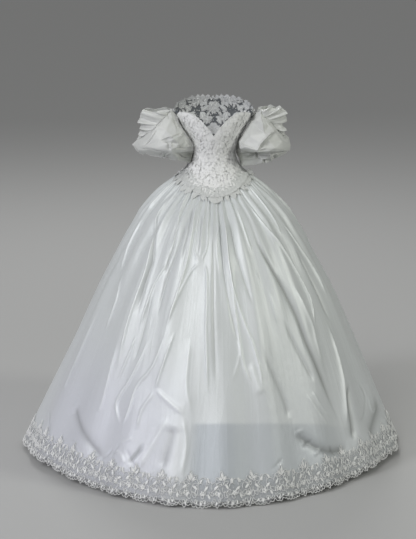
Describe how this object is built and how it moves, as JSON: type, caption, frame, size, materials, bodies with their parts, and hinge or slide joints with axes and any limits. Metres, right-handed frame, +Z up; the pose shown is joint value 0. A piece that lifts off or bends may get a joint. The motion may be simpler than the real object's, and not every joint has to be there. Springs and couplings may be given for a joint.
{
  "type": "wedding dress",
  "caption": "Off-the-shoulder wedding dress, filled out as worn: lace bodice with a sheer lace back, puff sleeves with fan ruffles, full satin skirt with a scalloped lace hem.",
  "frame": {"origin": "middle of the waist, where the wearer's body holds the dress", "axes": "+Z up the body, the front faces -Y, +X is the wearer's left"},
  "size_m": [1.5004, 1.5115, 1.3906],
  "materials": {
    "satin": "heavy bridal satin, soft sheen",
    "lace": "corded flower lace over a lined panel",
    "net_lace": "corded flower lace on open net",
    "taffeta": "crisp taffeta, low sheen",
    "button_satin": "satin-covered button"
  },
  "bodies": {
    "root": {"skirt_front": "satin", "skirt_back": "satin", "bodice_front": "lace", "bodice_side_front_L": "lace", "bodice_side_front_R": "lace", "bodice_side_back_L": "lace", "bodice_side_back_R": "lace", "bodice_back_L": "lace", "bodice_back_R": "lace", "waist_petals_front": "lace", "waist_petals_back": "lace", "back_placket": "lace", "yoke_L": "net_lace", "yoke_R": "net_lace", "hem_lace_front": "net_lace", "hem_lace_back": "net_lace", "sleeve_L": "taffeta", "sleeve_R": "taffeta", "ruffle_upper_L": "taffeta", "ruffle_upper_R": "taffeta", "ruffle_lower_L": "taffeta", "ruffle_lower_R": "taffeta", "button_1": "button_satin", "button_2": "button_satin", "button_3": "button_satin", "button_4": "button_satin", "button_5": "button_satin", "button_6": "button_satin", "button_7": "button_satin"}
  },
  "joints": []
}
